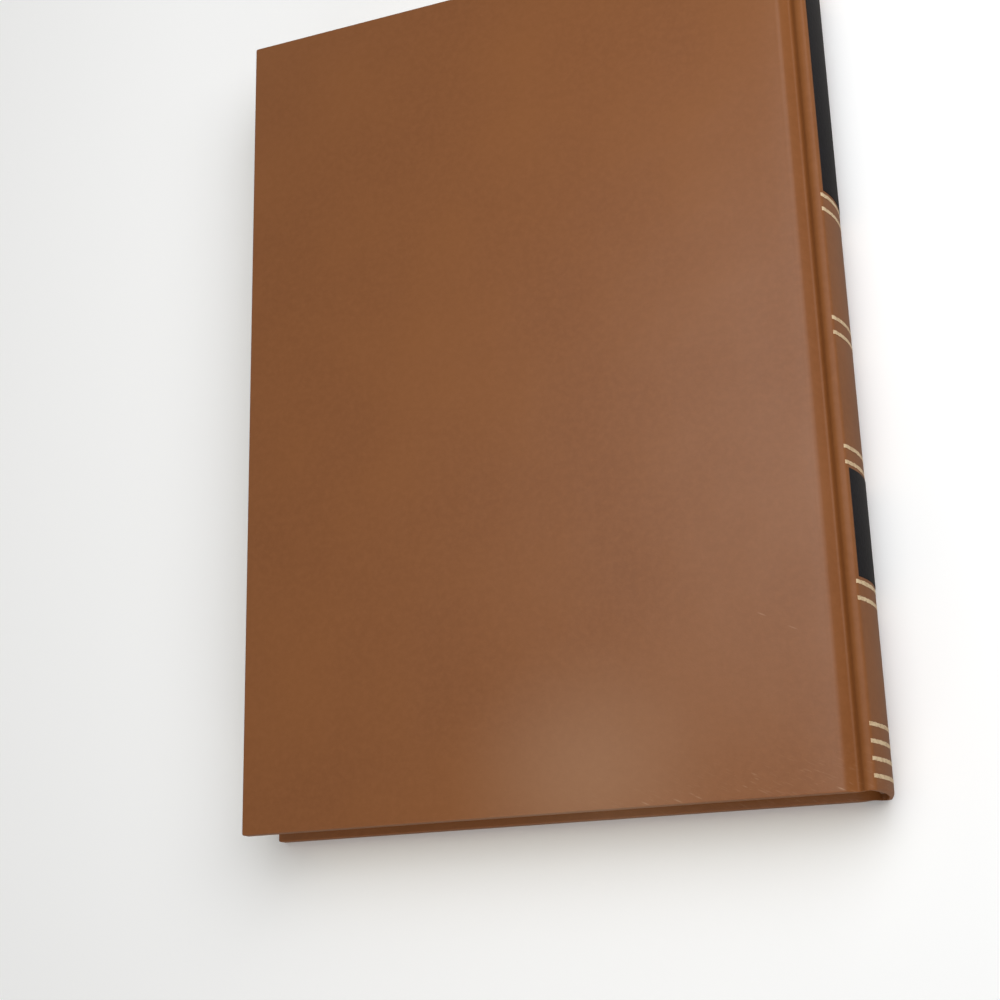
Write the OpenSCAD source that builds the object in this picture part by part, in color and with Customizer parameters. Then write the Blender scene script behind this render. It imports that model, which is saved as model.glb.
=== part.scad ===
// Hardcover book with a rounded, hollow back, lying shut on its front cover.
// X runs from the fore-edge to the spine, Y from the tail to the head and Z up, in millimetres.
// The origin is at the middle of the book's footprint, on the surface that it lies on.

/* [Leaves] */
// Width of a leaf, from its fold to the fore-edge
leaf_w = 165; // [140:1:190]
// Height of a leaf, from the tail to the head
leaf_h = 235; // [210:1:280]
// Thickness of the pressed leaves, without the endpapers
leaves_t = 16.3; // [12:0.1:24]
// How far the rounded back bulges past the tips of its shoulders
back_round = 2; // [1.6:0.1:3.5]
// How far the fore-edge is hollowed at its middle
fore_hollow = 1.4; // [0.8:0.1:2.4]
// Flat part of the fore-edge on each side of its hollow
fore_flat = 0.4; // [0.2:0.1:1]
// Radius of the curve from the flat leaves up to a shoulder
shoulder_curve_r = 4.5; // [3.6:0.1:6]

/* [Endpapers] */
// Thickness of the endpapers
endpaper_t = 0.2; // [0.1:0.05:0.3]

/* [Boards] */
// Thickness of a cover board
board_t = 2.4; // [1.8:0.1:3.2]
// How far the covers stand out past the leaves at the head and the tail
end_square = 3; // [2.4:0.1:5]
// How far the covers stand out past the leaves at the fore-edge
fore_square = 3; // [2:0.1:5]
// Flat bottom of a joint, from a cover's spine edge to where the shoulder's curve starts
joint_flat = 0.4; // [0.4:0.05:2]
// Running gap between a cover and the leather in its joint
joint_gap = 0.3; // [0.2:0.05:0.4]

/* [Leather] */
// Thickness of the leather on the outside
leather_t = 0.5; // [0.4:0.05:0.7]
// Thickness of the leather where it is pared and turned in
turnin_t = 0.35; // [0.25:0.05:0.4]
// Width of the leather turned in over the inside of a board
turnin_w = 16; // [10:1:20]
// How far the crests beside the joints lie below the outside of the covers
crest_drop = 0.3; // [0.2:0.05:0.5]

/* [Back linings] */
// Thickness of the lining cloth over the shoulders
cloth_t = 0.25; // [0.15:0.05:0.35]
// Thickness of the lining paper on the back
lining_t = 0.2; // [0.1:0.05:0.3]
// Room between the lining paper and the stiff card of the spine
hollow_t = 0.5; // [0.45:0.05:1]
// Thickness of the stiff card in the spine
inlay_t = 0.4; // [0.3:0.05:0.8]
// Radius of the bead of a headband
bead_r = 0.75; // [0.6:0.05:0.8]
// Length of the tape that holds a headband on the back
band_tape = 8; // [5:1:12]

/* [Gold rules] */
// Width of a gold rule
rule_w = 1; // [0.6:0.1:1.4]
// Thickness of the gold layer
foil_t = 0.1; // [0.05:0.05:0.15]
// Distance from the tail to the middle of the first rule
first_rule_y = 3.4; // [2.5:0.1:6]
// Distance between neighbouring rules of a group
rule_pitch = 4.1; // [3.4:0.1:4.6]
// Number of rules in the group at the tail, and at the head
end_rules = 4; // [3:1:5]
// Distance from one pair of rules to the next
panel_pitch = 34.7; // [30:0.1:36]
// Number of pairs of rules between the two groups
pairs = 4; // [3:1:4]
// How far the ends of a rule lie in from the crests
rule_inset = 0.3; // [0.2:0.1:1]

/* [Labels] */
// Thickness of the label leather
label_t = 0.15; // [0.1:0.05:0.2]
// Gap between a label and the rule beside it
label_gap = 0.9; // [0.4:0.1:1.5]
// How far the long sides of a label lie in from the crests
label_inset = 1.3; // [1:0.1:2.5]

/* [Hidden] */
$fn = 360;

// Heights, where v is a height above or below the middle of the book
cover_t = leather_t + board_t + turnin_t + endpaper_t;
leaves_v = leaves_t / 2;
book_v = leaves_v + endpaper_t + cover_t;
crest_v = book_v - crest_drop;
inlay_v = crest_v - leather_t;
tip_v = inlay_v - cloth_t - endpaper_t;
rule_v = crest_v - rule_inset;
label_v = crest_v - label_inset;

// The rounded back of the leaves is an arc through the tips of both shoulders
back_x = fore_square + fore_hollow + leaf_w;
shoulder_x = back_x - back_round;
back_r = (pow(back_round, 2) + pow(tip_v, 2)) / (2 * back_round);
arc_x = back_x - back_r;
hollow_v = leaves_v - fore_flat;
fore_r = (pow(fore_hollow, 2) + pow(hollow_v, 2)) / (2 * fore_hollow);

// The concave curve beside a shoulder starts level with the leaves
shoulder_h = tip_v - leaves_v;
curve_x = shoulder_x - sqrt(pow(shoulder_curve_r, 2) - pow(shoulder_curve_r - shoulder_h, 2));

// Layers on the back, as distances out from the leaves
cloth_out = endpaper_t + cloth_t;
lining_out = cloth_out + lining_t;
hollow_out = lining_out + hollow_t;
inlay_out = hollow_out + inlay_t;
leather_out = inlay_out + leather_t;

// The covers, which turn about the folds of the endpapers at the tips of the shoulders
cover_w = curve_x - joint_flat;
cover_h = leaf_h + 2 * end_square;
book_w = back_x + leather_out + label_t;

// Bottom and top of the labels, from the tail
group_end_y = first_rule_y + (end_rules - 1) * rule_pitch;
pair_y = group_end_y - rule_pitch / 2;
label_edge = rule_pitch / 2 + rule_w / 2 + label_gap;
lower_label_y = [pair_y + panel_pitch + label_edge, pair_y + 2 * panel_pitch - label_edge];
upper_label_y = [pair_y + pairs * panel_pitch + label_edge,
    cover_h - group_end_y - rule_w / 2 - label_gap];

// Carries a section drawn in X and v along the book, from one distance from the tail to another
module along(y0, y1) {
    translate([-book_w / 2, y1 - cover_h / 2, book_v]) {
        rotate([90, 0, 0]) {
            linear_extrude(y1 - y0) children();
        }
    }
}

// A plate of the front cover, between two corners, with Y from the tail and Z from the surface
module slab(low, high) {
    translate([low[0] - book_w / 2, low[1] - cover_h / 2, low[2]]) cube(high - low);
}

// Turns a piece of the front cover into its match on the back cover
module to_back() {
    translate([0, 0, 2 * book_v]) {
        mirror([0, 0, 1]) children();
    }
}

// Turns a piece at the tail into its match at the head
module to_head() {
    mirror([0, 1, 0]) children();
}

// Strip of the section within a height v of the middle, to the right of x
module beyond(x, v) {
    translate([x, -v]) square([book_w, 2 * v]);
}

// Disc about the middle of the rounded back, a distance out from the leaves
module back_disc(out) {
    translate([arc_x, 0]) circle(back_r + out);
}

// Part of the rounded back between two distances out from the leaves
module back_layer(inner, outer, v) {
    intersection() {
        difference() {
            back_disc(outer);
            back_disc(inner);
        }
        beyond(arc_x, v);
    }
}

// Round-fronted stack that ends in a plain edge at x, under the stiff card or the leather
module back_cap(out, x, v) {
    intersection() {
        back_disc(out);
        beyond(x, v);
    }
}

// Section of the leaves from x to the back, with its shoulders, grown by a distance out
module leaves_section(x, out) {
    intersection() {
        union() {
            translate([0, -leaves_v - out]) square([curve_x, 2 * (leaves_v + out)]);
            difference() {
                back_cap(out, curve_x, tip_v + out);
                for (side = [-1, 1]) {
                    translate([curve_x, side * (leaves_v + shoulder_curve_r)]) {
                        circle(shoulder_curve_r - out);
                    }
                }
            }
        }
        beyond(x, tip_v + out);
    }
}

// The leaves, as one stack with a round back, shoulders and a hollow fore-edge
module text_block() {
    color("#E9DFC8") along(end_square, end_square + leaf_h) {
        difference() {
            leaves_section(fore_square, 0);
            translate([fore_square + fore_hollow - fore_r, 0]) circle(fore_r);
        }
    }
}

// Section of the loose endpaper on the front of the leaves, which ends just short of the tip
module endpaper_section() {
    intersection() {
        difference() {
            leaves_section(fore_square, endpaper_t);
            leaves_section(fore_square - 1, 0);
        }
        translate([0, -book_v]) square([shoulder_x - endpaper_t / 2, book_v]);
    }
}

module front_free_endpaper() {
    color("#EFE6D2") along(end_square, end_square + leaf_h) endpaper_section();
}

module back_free_endpaper() {
    to_back() front_free_endpaper();
}

// Cloth over the back and both shoulders, with the glue that beds it between the endpapers
module spine_lining_cloth() {
    color("#E4DECF") along(end_square, end_square + leaf_h) {
        difference() {
            leaves_section(cover_w + joint_gap, cloth_out);
            leaves_section(cover_w, 0);
            endpaper_section();
            mirror([0, 1]) endpaper_section();
        }
    }
}

// Paper on the cloth, between the tapes of the two headbands
module spine_lining_paper() {
    tape_end = end_square + band_tape;
    color("#C9B58E") along(tape_end, cover_h - tape_end) {
        back_layer(cloth_out, lining_out, tip_v);
    }
}

// Headband at the tail: a round bead across the ends of the leaves, on a tape
module tail_band() {
    half_turn = asin(tip_v / (back_r + lining_out));
    bead_centre = back_r + cloth_out + lining_t / 2 - bead_r;
    color("#D8C79A") union() {
        along(end_square - bead_r, end_square + band_tape) {
            back_layer(cloth_out, lining_out, tip_v);
        }
        translate([arc_x - book_w / 2, end_square - bead_r - cover_h / 2, book_v]) {
            rotate([90, 0, 0]) {
                rotate([0, 0, -half_turn]) {
                    rotate_extrude(angle = 2 * half_turn) {
                        translate([bead_centre, 0]) circle(bead_r, $fn = 48);
                    }
                }
            }
        }
    }
}

module head_band() {
    to_head() tail_band();
}

// Stiff card that keeps the spine round, held by the leather alone
module spine_inlay() {
    color("#9A8464") along(leather_t, cover_h - leather_t) {
        back_layer(hollow_out, inlay_out, inlay_v);
    }
}

// Leather of the spine, from joint to joint, with its ends turned in round the stiff card
module spine_leather() {
    color("#8E5F44") union() {
        along(0, cover_h) {
            difference() {
                union() {
                    leaves_section(cover_w + joint_gap, cloth_out + leather_t);
                    back_cap(leather_out, shoulder_x, crest_v);
                }
                leaves_section(cover_w, cloth_out);
                back_cap(inlay_out, shoulder_x, inlay_v);
            }
        }
        spine_turnin();
        to_head() spine_turnin();
    }
}

// Leather turned over the tail end of the stiff card and into the hollow
module spine_turnin() {
    along(0, leather_t) back_layer(hollow_out - turnin_t, inlay_out + leather_t / 2, inlay_v);
    along(0, turnin_w) back_layer(hollow_out - turnin_t, hollow_out, inlay_v);
}

// Thin bare leather label on the spine, from one distance from the tail to another
module label(span) {
    color("#23222E") along(span[0], span[1]) {
        back_layer(leather_out, leather_out + label_t, label_v);
    }
}

module upper_label() {
    label(upper_label_y);
}

module lower_label() {
    label(lower_label_y);
}

// Gold rule across the spine, at a distance from the tail
module rule(y) {
    color("#D9BC8C") along(y - rule_w / 2, y + rule_w / 2) {
        back_layer(leather_out, leather_out + foil_t, rule_v);
    }
}

module tail_rules() {
    for (i = [0 : end_rules - 1]) {
        rule(first_rule_y + i * rule_pitch);
    }
}

module head_rules() {
    to_head() tail_rules();
}

module pair_rules() {
    for (i = [1 : pairs], side = [-1, 1]) {
        rule(pair_y + i * panel_pitch + side * rule_pitch / 2);
    }
}

// Board inside the front cover
module front_board() {
    color("#8C8478") slab([leather_t, leather_t, leather_t],
        [cover_w - leather_t, cover_h - leather_t, leather_t + board_t]);
}

module back_board() {
    to_back() front_board();
}

// Leather round the front board: its outside, its four edges and the part turned in
module front_cover_leather() {
    inside_z = leather_t + board_t;
    color("#8A5A3A") difference() {
        slab([0, 0, 0], [cover_w, cover_h, inside_z + turnin_t]);
        slab([leather_t, leather_t, leather_t],
            [cover_w - leather_t, cover_h - leather_t, inside_z]);
        slab([turnin_w, turnin_w, inside_z], [cover_w + 1, cover_h - turnin_w, cover_t]);
    }
}

module back_cover_leather() {
    to_back() front_cover_leather();
}

// Endpaper pasted inside the front cover, over the turned-in leather and down onto the board
module front_pastedown() {
    inside_z = leather_t + board_t;
    color("#EFE6D2") difference() {
        union() {
            slab([fore_square, end_square, inside_z + turnin_t],
                [cover_w, cover_h - end_square, cover_t]);
            slab([turnin_w, turnin_w, inside_z], [cover_w, cover_h - turnin_w, cover_t]);
        }
        slab([turnin_w + endpaper_t, turnin_w + endpaper_t, inside_z + endpaper_t],
            [cover_w + 1, cover_h - turnin_w - endpaper_t, cover_t + 1]);
    }
}

module back_pastedown() {
    to_back() front_pastedown();
}

text_block();
front_free_endpaper();
back_free_endpaper();
spine_lining_cloth();
spine_lining_paper();
head_band();
tail_band();
spine_inlay();
spine_leather();
upper_label();
lower_label();
tail_rules();
pair_rules();
head_rules();
front_board();
front_cover_leather();
front_pastedown();
back_board();
back_cover_leather();
back_pastedown();
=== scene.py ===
"""A leather-bound hardcover book, lying shut on its front cover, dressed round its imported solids.

Sizes are in millimetres, in the maker's own axes: X from the fore-edge to the spine, Y from the tail to
the head, and V above or below the middle of the book. Each finished piece is moved into the frame, in
metres, as its last step.
"""

from __future__ import annotations

import logging
import math
from dataclasses import dataclass
from enum import Enum
from typing import Any, Callable, Iterable

import bmesh
import bpy
from mathutils import Matrix, Vector, noise


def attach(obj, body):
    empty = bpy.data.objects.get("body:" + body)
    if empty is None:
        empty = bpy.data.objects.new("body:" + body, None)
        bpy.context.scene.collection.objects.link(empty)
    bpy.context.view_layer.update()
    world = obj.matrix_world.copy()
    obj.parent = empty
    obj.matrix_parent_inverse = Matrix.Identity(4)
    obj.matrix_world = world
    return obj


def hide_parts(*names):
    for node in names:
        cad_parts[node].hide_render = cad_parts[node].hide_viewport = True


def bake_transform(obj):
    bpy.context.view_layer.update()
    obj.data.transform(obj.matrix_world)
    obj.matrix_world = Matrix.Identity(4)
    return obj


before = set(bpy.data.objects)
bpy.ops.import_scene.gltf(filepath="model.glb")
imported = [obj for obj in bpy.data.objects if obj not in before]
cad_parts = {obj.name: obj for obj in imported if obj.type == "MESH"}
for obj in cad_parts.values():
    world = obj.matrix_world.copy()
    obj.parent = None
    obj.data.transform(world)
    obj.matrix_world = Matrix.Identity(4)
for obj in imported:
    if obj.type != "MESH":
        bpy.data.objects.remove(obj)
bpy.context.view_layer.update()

MM = 0.001
# Two places nearer than this, in millimetres, count as one
NEAR = 0.01
# Attribute that keeps a point's place at rest, in millimetres
PLACE = "place"
LOG = logging.getLogger("book")


class Side(Enum):
    """The two covers, by the way their outside faces."""

    FRONT = -1
    BACK = 1

    @property
    def body(self) -> str:
        """Name of the body that this cover moves with."""
        return f"{self.name.lower()}_cover"


class End(Enum):
    """The two ends of the book."""

    TAIL = 0
    HEAD = 1


@dataclass(frozen=True)
class BookSizes:
    """Named sizes of the book, in millimetres, as its solids have them."""

    leaf_w: float = 165.0
    leaf_h: float = 235.0
    leaves_t: float = 16.3
    back_round: float = 2.0
    fore_hollow: float = 1.4
    fore_flat: float = 0.4
    cove_r: float = 4.5
    endpaper_t: float = 0.2
    board_t: float = 2.4
    square: float = 3.0
    joint_flat: float = 0.4
    leather_t: float = 0.5
    turnin_t: float = 0.35
    turnin_w: float = 16.0
    crest_drop: float = 0.3
    cloth_t: float = 0.25
    lining_t: float = 0.2
    hollow_t: float = 0.5
    inlay_t: float = 0.4
    bead_r: float = 0.75
    band_tape: float = 8.0
    rule_w: float = 1.0
    first_rule_y: float = 3.4
    rule_pitch: float = 4.1
    end_rules: int = 4
    panel_pitch: float = 34.7
    pairs: int = 4
    rule_inset: float = 0.3
    label_t: float = 0.15
    label_gap: float = 0.9
    label_inset: float = 1.3

    @property
    def leaves_v(self) -> float:
        """Height of the topmost leaf."""
        return self.leaves_t / 2

    @property
    def cover_t(self) -> float:
        """Thickness of a cover with its leather, board, turned-in leather and pastedown."""
        return self.leather_t + self.board_t + self.turnin_t + self.endpaper_t

    @property
    def book_v(self) -> float:
        """Height of the outside of the back cover, which is half the book's thickness."""
        return self.leaves_v + self.endpaper_t + self.cover_t

    @property
    def inside_v(self) -> float:
        """Height of the inside of the back cover's turned-in leather."""
        return self.leaves_v + 2 * self.endpaper_t

    @property
    def crest_v(self) -> float:
        """Height of the crests beside the joints."""
        return self.book_v - self.crest_drop

    @property
    def tip_v(self) -> float:
        """Height of the tip of a shoulder of the leaves."""
        return self.crest_v - self.leather_t - self.cloth_t - self.endpaper_t

    @property
    def back_x(self) -> float:
        """Furthest reach of the rounded back of the leaves."""
        return self.square + self.fore_hollow + self.leaf_w

    @property
    def shoulder_x(self) -> float:
        """Place of the tips of the shoulders."""
        return self.back_x - self.back_round

    @property
    def back_r(self) -> float:
        """Radius of the rounded back of the leaves."""
        return (self.back_round**2 + self.tip_v**2) / (2 * self.back_round)

    @property
    def arc_x(self) -> float:
        """Centre of the rounded back."""
        return self.back_x - self.back_r

    @property
    def fore_r(self) -> float:
        """Radius of the hollow of the fore-edge."""
        half = self.leaves_v - self.fore_flat
        return (self.fore_hollow**2 + half**2) / (2 * self.fore_hollow)

    @property
    def curve_x(self) -> float:
        """Where the cove under a shoulder starts."""
        rise = self.tip_v - self.leaves_v
        return self.shoulder_x - math.sqrt(self.cove_r**2 - (self.cove_r - rise) ** 2)

    @property
    def cove_v(self) -> float:
        """Height of the centre of a shoulder's cove."""
        return self.leaves_v + self.cove_r

    @property
    def cloth_out(self) -> float:
        """Outside of the lining cloth, as a distance out from the leaves."""
        return self.endpaper_t + self.cloth_t

    @property
    def lining_out(self) -> float:
        """Outside of the lining paper, as a distance out from the leaves."""
        return self.cloth_out + self.lining_t

    @property
    def hollow_out(self) -> float:
        """Outside of the hollow, as a distance out from the leaves."""
        return self.lining_out + self.hollow_t

    @property
    def inlay_out(self) -> float:
        """Outside of the stiff card, as a distance out from the leaves."""
        return self.hollow_out + self.inlay_t

    @property
    def leather_out(self) -> float:
        """Outside of the spine's leather, as a distance out from the leaves."""
        return self.inlay_out + self.leather_t

    @property
    def cover_w(self) -> float:
        """Width of a cover, up to its spine edge."""
        return self.curve_x - self.joint_flat

    @property
    def cover_h(self) -> float:
        """Height of a cover from tail to head."""
        return self.leaf_h + 2 * self.square

    @property
    def book_w(self) -> float:
        """Width of the book from the fore-edge to the outside of the labels."""
        return self.back_x + self.leather_out + self.label_t

    @property
    def group_end_y(self) -> float:
        """Middle of the last rule of the group at the tail."""
        return self.first_rule_y + (self.end_rules - 1) * self.rule_pitch

    def pair_middle(self, index: int) -> float:
        """Middle of a pair of rules, counted up from the group at the tail."""
        return self.group_end_y - self.rule_pitch / 2 + index * self.panel_pitch


SIZES = BookSizes()


# making meshes


class Pen:
    """Draws a section in X and V at the tail end, one stroke after another, with bmesh operators."""

    def __init__(self, bm: bmesh.types.BMesh, x: float, v: float) -> None:
        """Sets the pen down.

        Args:
            bm: The mesh that is drawn in.
            x: Place of the first corner, from the fore-edge.
            v: Height of the first corner.
        """
        self.bm = bm
        self.last = bmesh.ops.create_vert(bm, co=(x, 0.0, v))["vert"][0]
        self.first = self.last

    def go(self, x: float, v: float) -> Pen:
        """Draws a straight stroke to a corner, and returns the pen."""
        drawn = bmesh.ops.extrude_vert_indiv(self.bm, verts=[self.last])
        self.last = drawn["verts"][0]
        self.last.co = Vector((x, 0.0, v))
        return self

    def turn(self, x: float, v: float, degrees: float, steps: int) -> Pen:
        """Draws an arc about a centre, clockwise where the angle is positive.

        Args:
            x: Place of the centre.
            v: Height of the centre.
            degrees: Angle of the arc.
            steps: Number of strokes that the arc is drawn in.

        Returns:
            The pen itself.
        """
        angle = math.radians(degrees)
        drawn = bmesh.ops.spin(
            self.bm, geom=[self.last], cent=(x, 0, v), axis=(0, 1, 0), angle=angle, steps=steps
        )
        self.last = next(g for g in drawn["geom_last"] if isinstance(g, bmesh.types.BMVert))
        return self

    def close(self) -> bmesh.types.BMFace:
        """Closes the outline and fills it.

        Returns:
            The filled section.
        """
        self.bm.edges.new((self.last, self.first))
        return bmesh.ops.contextual_create(self.bm, geom=list(self.bm.edges))["faces"][0]


def carry(bm: bmesh.types.BMesh, geom: Iterable[Any], move: Matrix) -> list[Any]:
    """Extrudes a region and puts the extruded part in its new place.

    Args:
        bm: The mesh.
        geom: Faces or edges to extrude.
        move: Where the extruded part goes.

    Returns:
        The extruded vertices, edges and faces.
    """
    picked = list(geom)
    # With a region's own edges picked too, no face is left behind inside the solid
    rims = (edge for face in faces_of(picked) for edge in face.edges)
    made = bmesh.ops.extrude_face_region(bm, geom=list(dict.fromkeys([*picked, *rims])))["geom"]
    bmesh.ops.transform(bm, matrix=move, verts=[g for g in made if isinstance(g, bmesh.types.BMVert)])
    return made


def faces_of(geom: Iterable[Any]) -> list[bmesh.types.BMFace]:
    """Picks the faces out of mixed geometry."""
    return [g for g in geom if isinstance(g, bmesh.types.BMFace)]


def cut(bm: bmesh.types.BMesh, faces: Iterable[bmesh.types.BMFace], point: Vector, normal: Vector) -> None:
    """Cuts faces along a plane and keeps both sides.

    Args:
        bm: The mesh.
        faces: The faces to cut.
        point: A point on the plane.
        normal: The plane's normal.
    """
    cuts = list(faces)
    geom = dict.fromkeys([*cuts, *(e for f in cuts for e in f.edges), *(v for f in cuts for v in f.verts)])
    bmesh.ops.bisect_plane(bm, geom=list(geom), dist=1e-4, plane_co=point, plane_no=normal)


def fit(low: Vector, high: Vector, new_low: Vector, new_high: Vector) -> Matrix:
    """Gives the move that stretches one box on to another.

    Args:
        low: Lowest corner of the box.
        high: Highest corner of the box.
        new_low: Lowest corner of the new box.
        new_high: Highest corner of the new box.

    Returns:
        The move as a matrix. A side of no length is only shifted.
    """
    scale = [(n - m) / (h - l) if h > l else 1.0 for l, h, m, n in zip(low, high, new_low, new_high)]
    return Matrix.Translation(new_low) @ Matrix.Diagonal((*scale, 1.0)) @ Matrix.Translation(-low)


def smooth_step(t: float) -> float:
    """Eases a share from 0 to 1."""
    t = min(1.0, max(0.0, t))
    return t * t * (3 - 2 * t)


def arc_solid(
    bm: bmesh.types.BMesh, inner: float, outer: float, low_y: float, high_y: float, half: float, steps: int
) -> list[bmesh.types.BMFace]:
    """Makes a layer that lies round the rounded back, by spinning its section.

    Args:
        bm: The mesh that the layer is made in.
        inner: Inner radius.
        outer: Outer radius.
        low_y: End of the layer nearer to the tail.
        high_y: End of the layer nearer to the head.
        half: Half of the angle that the layer takes up, in degrees.
        steps: Number of steps of the spin.

    Returns:
        The faces of the layer.
    """
    before = set(bm.faces)
    plate = bmesh.ops.create_grid(bm, x_segments=1, y_segments=1, size=0.5)["verts"]
    flat = Vector((-0.5, -0.5, 0.0)), Vector((0.5, 0.5, 0.0))
    place = Vector((SIZES.arc_x + inner, low_y, 0.0)), Vector((SIZES.arc_x + outer, high_y, 0.0))
    bmesh.ops.transform(bm, matrix=fit(*flat, *place), verts=plate)
    centre = Vector((SIZES.arc_x, 0.0, 0.0))
    turn = Matrix.Rotation(math.radians(-half), 3, "Y")
    bmesh.ops.rotate(bm, cent=centre, matrix=turn, verts=plate)
    section = list({f for v in plate for f in v.link_faces})
    angle = math.radians(2 * half)
    bmesh.ops.spin(bm, geom=section, cent=centre, axis=(0, 1, 0), angle=angle, steps=steps)
    made = [f for f in bm.faces if f not in before]
    bmesh.ops.recalc_face_normals(bm, faces=made)
    return made


@dataclass(frozen=True)
class Bench:
    """Turns a drawn mesh into a finished piece in the frame."""

    smooth_angle: float = 32.0
    sharp_angle: float = 50.0

    def finish(
        self,
        name: str,
        bm: bmesh.types.BMesh,
        side: Side = Side.BACK,
        bevel_mm: float = 0.0,
        segments: int = 4,
        place: Callable[[Vector], Vector] | None = None,
    ) -> bpy.types.Object:
        """Puts a mesh in its place in the frame as an object.

        Args:
            name: Name of the piece.
            bm: The drawn mesh, in millimetres, which this frees.
            side: FRONT turns a piece drawn for the back cover into its match on the front cover.
            bevel_mm: Width of a rounded edge of weight 1.
            segments: Number of steps in a rounded edge.
            place: Gives the pattern's place of a point. Without it, that is the point itself.

        Returns:
            The object, at the origin, unturned and unscaled.
        """
        if side is Side.FRONT:
            bmesh.ops.scale(bm, vec=(1.0, 1.0, -1.0), verts=bm.verts)
            bmesh.ops.reverse_faces(bm, faces=bm.faces)
        mesh = bpy.data.meshes.new(name)
        bm.to_mesh(mesh)
        bm.free()
        piece = bpy.data.objects.new(name, mesh)
        bpy.context.scene.collection.objects.link(piece)
        if bevel_mm:
            self._round(piece, bevel_mm, segments)
        self._mark(piece.data, place)
        shift = Matrix.Translation((-SIZES.book_w / 2, -SIZES.cover_h / 2, SIZES.book_v))
        piece.data.transform(Matrix.Scale(MM, 4) @ shift)
        piece.data.shade_smooth()
        piece.data.set_sharp_from_angle(angle=math.radians(self.smooth_angle))
        return piece

    def _round(self, piece: bpy.types.Object, width: float, segments: int) -> None:
        """Rounds the weighted edges with a Bevel modifier and makes the result the piece's own mesh."""
        rounding = piece.modifiers.new("eased edges", "BEVEL")
        rounding.limit_method = "WEIGHT"
        rounding.width = width
        rounding.segments = segments
        rounding.profile = 0.5
        rounding.use_clamp_overlap = False
        drawn = piece.evaluated_get(bpy.context.evaluated_depsgraph_get())
        rounded = bpy.data.meshes.new_from_object(drawn)
        rounded.name = piece.name
        piece.modifiers.clear()
        piece.data = rounded

    def _mark(self, mesh: bpy.types.Mesh, place: Callable[[Vector], Vector] | None) -> None:
        """Keeps each point's place at rest, in millimetres, so that a pattern stays on a piece that bends."""
        marks = mesh.attributes.new(PLACE, "FLOAT_VECTOR", "POINT")
        for mark, vert in zip(marks.data, mesh.vertices):
            mark.vector = place(vert.co) if place else vert.co


BENCH = Bench()


def weigh(bm: bmesh.types.BMesh, rule: Callable[[bmesh.types.BMEdge], float]) -> None:
    """Gives each sharp edge the share of the bevel's width that it is rounded by.

    Args:
        bm: The mesh.
        rule: Gives the weight of an edge, from 0 to 1.
    """
    layer = bm.edges.layers.float.new("bevel_weight_edge")
    for edge in bm.edges:
        if edge.is_manifold and edge.calc_face_angle(0.0) > math.radians(BENCH.sharp_angle):
            edge[layer] = rule(edge)


# finishes

# Numbers of a colour mixer's share, first colour and second colour among its inputs
SHARE, FIRST, SECOND = 0, 6, 7


def paint(code: str) -> tuple[float, float, float, float]:
    """Turns an sRGB hex colour, such as #7A4926, into linear values for a socket."""
    parts = [int(code[i : i + 2], 16) / 255 for i in (1, 3, 5)]
    linear = [c / 12.92 if c <= 0.04045 else ((c + 0.055) / 1.055) ** 2.4 for c in parts]
    return (*linear, 1.0)


def feed(tree: bpy.types.NodeTree, node: bpy.types.Node, inputs: dict[Any, Any]) -> None:
    """Sets or links inputs of a node.

    Args:
        tree: The material's nodes.
        node: The node that is fed.
        inputs: A value, an output, or a node for its first live output, by the name or number of the input.
    """
    for key, value in inputs.items():
        if isinstance(value, bpy.types.Node):
            value = next(output for output in value.outputs if output.enabled)
        if isinstance(value, bpy.types.NodeSocket):
            tree.links.new(value, node.inputs[key])
        else:
            node.inputs[key].default_value = value


def add_node(
    tree: bpy.types.NodeTree, kind: str, inputs: dict[Any, Any] | None = None, **settings: Any
) -> bpy.types.Node:
    """Adds a node with its settings and links.

    Args:
        tree: The material's nodes.
        kind: Blender's name for the kind of node, without ShaderNode.
        inputs: What feeds its inputs, by their names or numbers.
        settings: Properties of the node.

    Returns:
        The node.
    """
    node = tree.nodes.new(f"ShaderNode{kind}")
    for key, value in settings.items():
        setattr(node, key, value)
    feed(tree, node, inputs or {})
    return node


@dataclass(frozen=True)
class Finish:
    """A finish, whose own method draws its colour, gloss and relief."""

    name: str

    def material(self) -> bpy.types.Material:
        """Makes the material on its first use, and gives the same one afterwards.

        Returns:
            The material.
        """
        made = bpy.data.materials.get(self.name)
        if made is None:
            made = bpy.data.materials.new(self.name)
            made.use_nodes = True
            tree = made.node_tree
            self.draw(tree, tree.nodes["Principled BSDF"])
        return made

    def draw(self, tree: bpy.types.NodeTree, shader: bpy.types.Node) -> None:
        """Draws the finish into a material's nodes."""
        raise NotImplementedError

    def dress(self, piece: bpy.types.Object) -> None:
        """Gives a piece this finish alone."""
        piece.data.materials.clear()
        piece.data.materials.append(self.material())


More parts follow.
